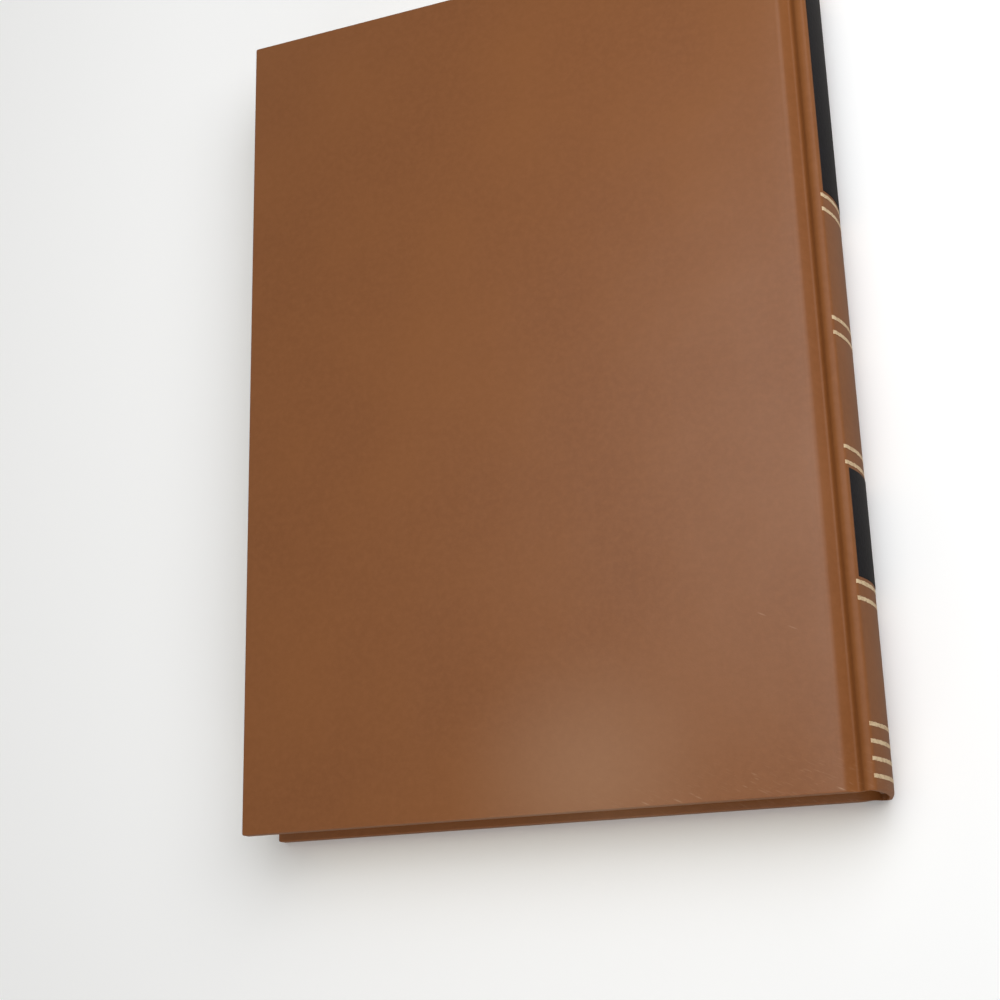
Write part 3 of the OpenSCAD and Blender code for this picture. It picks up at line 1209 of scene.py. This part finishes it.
@dataclass
class GoldRules:
    """Gold rules pressed across the spine, each a strip that follows the leather from crest to crest."""

    node: str
    middles: tuple[float, ...]
    lift: float = 0.045
    sink: float = 0.03
    ragged: float = 0.07
    ragged_per_mm: tuple[float, float, float] = (0.9, 3.1, 0.9)
    crest_steps: int = 5
    steps: int = 64

    def build(self) -> bpy.types.Object:
        """Makes every rule of the group as one piece.

        Returns:
            The finished rules.
        """
        bm = bmesh.new()
        for middle in self.middles:
            self._rule(bm, middle)
        bmesh.ops.recalc_face_normals(bm, faces=bm.faces)
        rules = BENCH.finish(self.node, bm)
        GOLD.dress(rules)
        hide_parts(self.node)
        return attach(rules, "book_block")

    def _rule(self, bm: bmesh.types.BMesh, middle: float) -> None:
        """Draws one rule round the spine, spreads it to its width and roughens its edges."""
        s = SIZES
        case = CaseLeather(Side.BACK)
        edge_x, edge_v, lift = case.crest_centre
        small_r = case.crest_r + self.lift
        first = math.asin((s.crest_v - s.rule_inset - edge_v) / small_r)
        before = set(bm.verts)
        pen = Pen(bm, edge_x + small_r * math.cos(first), edge_v + small_r * math.sin(first))
        over_crest = math.degrees(first) - lift
        pen.turn(edge_x, edge_v, over_crest, self.crest_steps)
        pen.turn(s.arc_x, 0.0, 2 * lift, self.steps)
        pen.turn(edge_x, -edge_v, over_crest, self.crest_steps)
        line = [v for v in bm.verts if v not in before]
        edges = dict.fromkeys(e for v in line for e in v.link_edges)
        bmesh.ops.translate(bm, vec=(0.0, middle - s.rule_w / 2, 0.0), verts=line)
        carry(bm, edges, Matrix.Translation((0.0, s.rule_w, 0.0)))
        new = [f for f in bm.faces if all(v not in before for v in f.verts)]
        for vert in dict.fromkeys(v for f in new for v in f.verts):
            bent = noise.noise(vert.co * Vector(self.ragged_per_mm))
            vert.co.y += bent * self.ragged * 2
        bmesh.ops.recalc_face_normals(bm, faces=new)
        bmesh.ops.solidify(bm, geom=new, thickness=self.lift + self.sink)


# the leaves and their linings


@dataclass
class Leaves:
    """The leaves as one stack, in gatherings that fan out over the shoulders."""

    gatherings: int = 16
    groove: float = 0.1
    groove_half: float = 0.07
    uneven: float = 0.05
    # Shares of the slab's width: where it is cut, and its part that becomes the round back
    cuts: tuple[float, ...] = (0.03, 0.5, 0.9, 0.955)
    flat_part: float = 0.96
    round_part: float = 0.04
    shoulder_steps: int = 10

    def build(self) -> bpy.types.Object:
        """Makes the stack as a slab, cuts it into gatherings, and warps it to its round back and shoulders.

        Returns:
            The finished stack.
        """
        s = SIZES
        bm = bmesh.new()
        bmesh.ops.create_cube(bm, size=1.0)
        cube = Vector((-0.5,) * 3), Vector((0.5,) * 3)
        slab = Vector((0.0, s.square, -s.leaves_v)), Vector((1.0, s.square + s.leaf_h, s.leaves_v))
        bmesh.ops.transform(bm, matrix=fit(*cube, *slab), verts=bm.verts)
        pitch = s.leaves_t / self.gatherings
        for i in range(1, self.gatherings):
            for side in (-self.groove_half, 0.0, self.groove_half):
                cut(bm, bm.faces, Vector((0, 0, i * pitch - s.leaves_v + side)), Vector((0, 0, 1)))
        parts = [i / self.shoulder_steps for i in range(self.shoulder_steps)]
        for share in (*self.cuts, *(self.flat_part + self.round_part * part for part in parts)):
            cut(bm, bm.faces, Vector((share, 0, 0)), Vector((1, 0, 0)))
        bmesh.ops.recalc_face_normals(bm, faces=bm.faces)
        self._part(bm, pitch)
        marks = {}
        for vert in bm.verts:
            level = vert.co.z
            vert.co = self._warp(vert.co)
            marks[vert.co.copy().freeze()] = level
        # The pattern keeps a point's level in the flat stack, so that its lines follow the leaves
        stack = BENCH.finish("leaves", bm, place=lambda p: Vector((p.x, p.y, marks[p.copy().freeze()])))
        LEAF_EDGES.dress(stack)
        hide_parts("text_block")
        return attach(stack, "book_block")

    def _part(self, bm: bmesh.types.BMesh, pitch: float) -> None:
        """Presses a fine groove between each two gatherings at the three cut edges."""
        s = SIZES
        for vert in bm.verts:
            level = (vert.co.z + s.leaves_v) / pitch
            index = round(level)
            in_groove = abs(level - index) * pitch < NEAR and 0 < index < self.gatherings
            whole = math.floor(level)
            jitter = self.uneven * (0.5 + 0.5 * noise.noise(Vector((whole * 1.7, 0.3, 0.9))))
            inward = self.groove + jitter if in_groove else jitter
            if abs(vert.co.y - s.square) < NEAR:
                vert.co.y += inward
            elif abs(vert.co.y - s.square - s.leaf_h) < NEAR:
                vert.co.y -= inward
            # A point of the fore-edge keeps its inward move as a negative share, for the warp
            if vert.co.x < 0.001:
                vert.co.x = -inward

    def _warp(self, flat: Vector) -> Vector:
        """Gives the place of a point of the flat slab in the rounded and backed stack."""
        s = SIZES
        q = flat.z / s.leaves_v
        back_v = q * s.tip_v
        back = s.arc_x + math.sqrt(s.back_r**2 - back_v**2)
        fore = s.square
        if abs(flat.z) < s.leaves_v - s.fore_flat:
            fore = s.square + s.fore_hollow - s.fore_r + math.sqrt(s.fore_r**2 - flat.z**2)
        if flat.x <= 0.0:
            return Vector((fore - flat.x, flat.y, flat.z))
        if flat.x < self.flat_part:
            x = fore + (s.curve_x - fore) * flat.x / self.flat_part
        else:
            x = s.curve_x + (back - s.curve_x) * (flat.x - self.flat_part) / self.round_part
        away = min(max(x - s.curve_x, 0.0), s.shoulder_x - s.curve_x)
        rise = s.cove_r - math.sqrt(s.cove_r**2 - away**2)
        return Vector((x, flat.y, q * (s.leaves_v + rise)))


@dataclass
class Pastedown:
    """The pasted half of an endpaper, from the fore-edge over the board and the joint to its fold."""

    side: Side
    step_w: float = 1.6
    step_cuts: int = 4
    fold_drop: float = 0.1
    joint_steps: int = 14

    def build(self) -> bpy.types.Object:
        """Makes the sheet, lets it down between the turned-in edges, and gives it its thickness.

        Returns:
            The finished sheet.
        """
        s = SIZES
        bm = bmesh.new()
        level = s.leaves_v + s.endpaper_t
        radius = s.cove_r - s.endpaper_t
        rise = math.degrees(math.acos((s.cove_v - s.tip_v - self.fold_drop) / radius))
        pen = Pen(bm, s.square, level).go(s.turnin_w - 1.0, level).go(s.cover_w - 3.0, level)
        pen.go(s.curve_x, level).turn(s.curve_x, s.cove_v, -rise, self.joint_steps)
        bmesh.ops.translate(bm, vec=(0.0, s.square, 0.0), verts=bm.verts)
        carry(bm, list(bm.edges), Matrix.Translation((0.0, s.leaf_h, 0.0)))
        for step in range(self.step_cuts + 1):
            offset = self.step_w * step / self.step_cuts
            for y in (s.turnin_w + offset, s.cover_h - s.turnin_w - offset):
                cut(bm, bm.faces, Vector((0, y, 0)), Vector((0, 1, 0)))
            for x in (s.turnin_w + offset, s.cover_w - offset):
                cut(bm, bm.faces, Vector((x, 0, 0)), Vector((1, 0, 0)))
        for vert in bm.verts:
            vert.co.z += s.turnin_t * self._let_down(vert.co)
        bmesh.ops.recalc_face_normals(bm, faces=bm.faces)
        if sum(f.normal.z * f.calc_area() for f in bm.faces) > 0:
            bmesh.ops.reverse_faces(bm, faces=bm.faces)
        bmesh.ops.solidify(bm, geom=bm.faces[:], thickness=s.endpaper_t - NEAR)
        bmesh.ops.recalc_face_normals(bm, faces=bm.faces)
        sheet = BENCH.finish(f"{self.side.name.lower()}_endpaper_pasted", bm, self.side)
        ENDPAPER.dress(sheet)
        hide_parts(f"{self.side.name.lower()}_pastedown")
        blend_in_joint(sheet)
        return sheet

    def _let_down(self, place: Vector) -> float:
        """Gives how deep the sheet lies at a place, from 0 on the turned-in leather to 1 on the board."""
        s = SIZES
        from_edges = (
            place.x - s.turnin_w,
            s.cover_w - place.x,
            place.y - s.turnin_w,
            s.cover_h - s.turnin_w - place.y,
        )
        depth = 1.0
        for distance in from_edges:
            depth *= smooth_step(distance / self.step_w)
        return depth


@dataclass
class Headband:
    """A cord wound with silk in two colours, at one end of the leaves, on its tape."""

    end: End
    turns: int = 56
    rings_per_turn: int = 4
    sides: int = 14
    pulled_in: float = 0.1
    tape_steps: int = 40

    def build(self) -> bpy.types.Object:
        """Spins the cord round the back, pulls it in between the turns and adds the tape.

        Returns:
            The finished headband.
        """
        s = SIZES
        bm = bmesh.new()
        half = math.degrees(math.asin(s.tip_v / (s.back_r + s.lining_out)))
        centre_r = s.back_r + s.cloth_out + s.lining_t / 2 - s.bead_r
        ring = bmesh.ops.create_circle(bm, cap_ends=True, segments=self.sides, radius=s.bead_r)["verts"]
        to_end = Matrix.Translation((s.arc_x + centre_r, s.square - s.bead_r, 0.0))
        bmesh.ops.transform(bm, matrix=to_end, verts=ring)
        pivot = Vector((s.arc_x, 0.0, 0.0))
        bmesh.ops.rotate(bm, cent=pivot, matrix=Matrix.Rotation(math.radians(-half), 3, "Y"), verts=ring)
        section = list({f for v in ring for f in v.link_faces})
        steps = self.turns * self.rings_per_turn
        angle = math.radians(2 * half)
        bmesh.ops.spin(bm, geom=section, cent=pivot, axis=(0, 1, 0), angle=angle, steps=steps)
        bmesh.ops.recalc_face_normals(bm, faces=bm.faces)

        def turn_of(place: Vector) -> float:
            """Gives the number of a point's turn of silk."""
            return (math.degrees(math.atan2(place.z, place.x - s.arc_x)) / half + 1) / 2 * self.turns

        for vert in bm.verts:
            around = math.atan2(vert.co.z, vert.co.x - s.arc_x)
            out = centre_r * Vector((math.cos(around), 0.0, math.sin(around)))
            hub = pivot + out + Vector((0.0, s.square - s.bead_r, 0.0))
            pull = 1 - self.pulled_in + self.pulled_in * abs(math.sin(math.pi * turn_of(vert.co)))
            vert.co = hub + (vert.co - hub) * pull
        tape = (s.back_r + s.cloth_out, s.back_r + s.lining_out, s.square - s.bead_r, s.square + s.band_tape)
        arc_solid(bm, *tape, half, self.tape_steps)
        if self.end is End.HEAD:
            bmesh.ops.scale(bm, vec=(1.0, -1.0, 1.0), verts=bm.verts)
            bmesh.ops.translate(bm, vec=(0.0, s.cover_h, 0.0), verts=bm.verts)
            bmesh.ops.reverse_faces(bm, faces=bm.faces)
        # The pattern keeps the number of a point's turn in place of its X
        band = BENCH.finish(
            f"{self.end.name.lower()}_band_silk", bm, place=lambda p: Vector((turn_of(p), p.y, p.z))
        )
        SILK.dress(band)
        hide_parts(f"{self.end.name.lower()}_band")
        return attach(band, "book_block")


@dataclass
class BackCloth:
    """The lining cloth on the rounded back, under the paper."""

    steps: int = 48

    def build(self) -> bpy.types.Object:
        """Makes the cloth as a layer round the back.

        Returns:
            The finished cloth.
        """
        s = SIZES
        bm = bmesh.new()
        outer = s.back_r + s.cloth_out - NEAR
        half = math.degrees(math.asin(s.tip_v / outer))
        arc_solid(bm, s.back_r + NEAR, outer, s.square, s.square + s.leaf_h, half, self.steps)
        cloth = BENCH.finish("back_lining_mull", bm)
        MULL.dress(cloth)
        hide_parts("spine_lining_cloth")
        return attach(cloth, "book_block")


# the studio


@dataclass(frozen=True)
class Lamp:
    """A rectangular lamp, with its places and sides in metres and its power in watts."""

    name: str
    at: tuple[float, float, float]
    towards: tuple[float, float, float]
    size: tuple[float, float]
    watts: float
    tint: str

    def hang(self) -> None:
        """Hangs the lamp, out of the camera's sight."""
        light = bpy.data.lights.new(self.name, "AREA")
        light.shape = "RECTANGLE"
        light.size, light.size_y = self.size
        light.energy = self.watts
        light.color = paint(self.tint)[:3]
        lamp = bpy.data.objects.new(self.name, light)
        lamp.visible_camera = False
        turn = (Vector(self.towards) - Vector(self.at)).to_track_quat("-Z", "Y").to_matrix().to_4x4()
        lamp.matrix_world = Matrix.Translation(Vector(self.at)) @ turn
        bpy.context.scene.collection.objects.link(lamp)


@dataclass
class Studio:
    """A plain pale floor, soft light and a camera at the photograph's angle."""

    lens_mm: float = 60.36
    sensor_mm: float = 36.0
    near_m: float = 0.01
    eye_mm: tuple[float, float, float] = (147.492, -168.867, 422.167)
    right: tuple[float, float, float] = (0.92780522, -0.02670619, -0.37210786)
    up: tuple[float, float, float] = (0.13340403, 0.95523332, 0.26406943)
    floor_half: float = 3.0
    floor_low: float = 0.0002
    floor: str = "#FAFAF9"
    floor_bounce: str = "#DAD7D1"
    floor_mirrored: str = "#8E8A84"
    floor_roughness: float = 0.9
    room: str = "#F8F8F7"
    room_light: float = 0.25
    # Soft light from above, a nearer lamp by the spine, and a wide one before the tail
    lamps: tuple[Lamp, ...] = (
        Lamp("overhead", (-0.1, 0.1, 1.25), (-0.1, 0.1, 0.0), (0.7, 0.8), 3.6, "#FFFDF8"),
        Lamp("window", (0.27, 0.16, 0.46), (0.05, 0.02, 0.0), (0.6, 0.6), 2.7, "#FBFCFF"),
        Lamp("fill", (0.1, -1.3, 0.36), (0.0, 0.0, 0.0), (1.8, 0.7), 8.0, "#FFFFFF"),
    )

    def build(self) -> None:
        """Makes the floor, the camera and the lights."""
        self._floor()
        self._camera()
        for lamp in self.lamps:
            lamp.hang()
        world = bpy.data.worlds.new("room")
        world.use_nodes = True
        light = {"Color": paint(self.room), "Strength": self.room_light}
        feed(world.node_tree, world.node_tree.nodes["Background"], light)
        bpy.context.scene.world = world
        bpy.context.scene.view_settings.view_transform = "Standard"

    def _floor(self) -> None:
        """Lays a white sheet under the book."""
        bm = bmesh.new()
        bmesh.ops.create_grid(bm, x_segments=1, y_segments=1, size=self.floor_half)
        bmesh.ops.translate(bm, vec=(0.0, 0.0, -self.floor_low), verts=bm.verts)
        mesh = bpy.data.meshes.new("floor")
        bm.to_mesh(mesh)
        bm.free()
        floor = bpy.data.objects.new("floor", mesh)
        bpy.context.scene.collection.objects.link(floor)
        sheet = bpy.data.materials.new("white paper sheet")
        sheet.use_nodes = True
        tree = sheet.node_tree
        rays = add_node(tree, "LightPath")
        tone: Any = paint(self.floor_bounce)
        for ray, seen in (("Is Camera Ray", self.floor), ("Is Glossy Ray", self.floor_mirrored)):
            tone = {SHARE: rays.outputs[ray], FIRST: tone, SECOND: paint(seen)}
            tone = add_node(tree, "Mix", tone, data_type="RGBA")
        feed(tree, tree.nodes["Principled BSDF"], {"Base Color": tone, "Roughness": self.floor_roughness})
        mesh.materials.append(sheet)

    def _camera(self) -> None:
        """Puts the camera where the photograph was taken from."""
        camera = bpy.data.objects.new("camera", bpy.data.cameras.new("camera"))
        camera.data.lens = self.lens_mm
        camera.data.sensor_width = self.sensor_mm
        camera.data.clip_start = self.near_m
        right, up = Vector(self.right), Vector(self.up)
        turn = Matrix((right, up, right.cross(up))).transposed().to_4x4()
        camera.matrix_world = Matrix.Translation(Vector(self.eye_mm) * MM) @ turn
        bpy.context.scene.collection.objects.link(camera)
        bpy.context.scene.camera = camera


def label_spans() -> dict[str, tuple[float, float]]:
    """Gives the two ends of each label, by the name of its node.

    Returns:
        Distances from the tail, in millimetres.
    """
    s = SIZES
    edge = s.rule_pitch / 2 + s.rule_w / 2 + s.label_gap
    return {
        "lower_label": (s.pair_middle(1) + edge, s.pair_middle(2) - edge),
        "upper_label": (s.pair_middle(4) + edge, s.cover_h - s.group_end_y - s.rule_w / 2 - s.label_gap),
    }


def rule_middles() -> dict[str, tuple[float, ...]]:
    """Gives the middles of the rules of each group, by the name of its node.

    Returns:
        Distances from the tail, in millimetres.
    """
    s = SIZES
    tail = tuple(s.first_rule_y + i * s.rule_pitch for i in range(s.end_rules))
    pairs = tuple(
        s.pair_middle(i) + side * s.rule_pitch / 2 for i in range(1, s.pairs + 1) for side in (-1, 1)
    )
    return {"tail_rules": tail, "pair_rules": pairs, "head_rules": tuple(s.cover_h - y for y in tail)}


def dress_kept_solids() -> None:
    """Gives the solids that stay as they are their own finishes."""
    kept = {
        "front_board": GREYBOARD,
        "back_board": GREYBOARD,
        "spine_inlay": CARD,
        "spine_lining_paper": KRAFT,
        "front_free_endpaper": ENDPAPER,
        "back_free_endpaper": ENDPAPER,
    }
    for name, finish in kept.items():
        finish.dress(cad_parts[name])
        LOG.info("dressed %s", name)


def main() -> None:
    """Builds the book, piece by piece, and the studio round it."""
    logging.basicConfig(level=logging.INFO, format="%(name)s: %(message)s")
    dress_kept_solids()
    parts: list[Any] = [Leaves(), BackCloth()]
    parts += [Headband(end) for end in End]
    parts += [Pastedown(side) for side in Side]
    parts += [CaseLeather(side) for side in Side]
    parts += [SpineTurnIn(end) for end in End]
    parts += [Label(node, *span) for node, span in label_spans().items()]
    parts += [GoldRules(node, middles) for node, middles in rule_middles().items()]
    for part in parts:
        piece = part.build()
        LOG.info("built %s with %d faces", piece.name, len(piece.data.polygons))
    Studio().build()


if __name__ == "__main__":
    main()
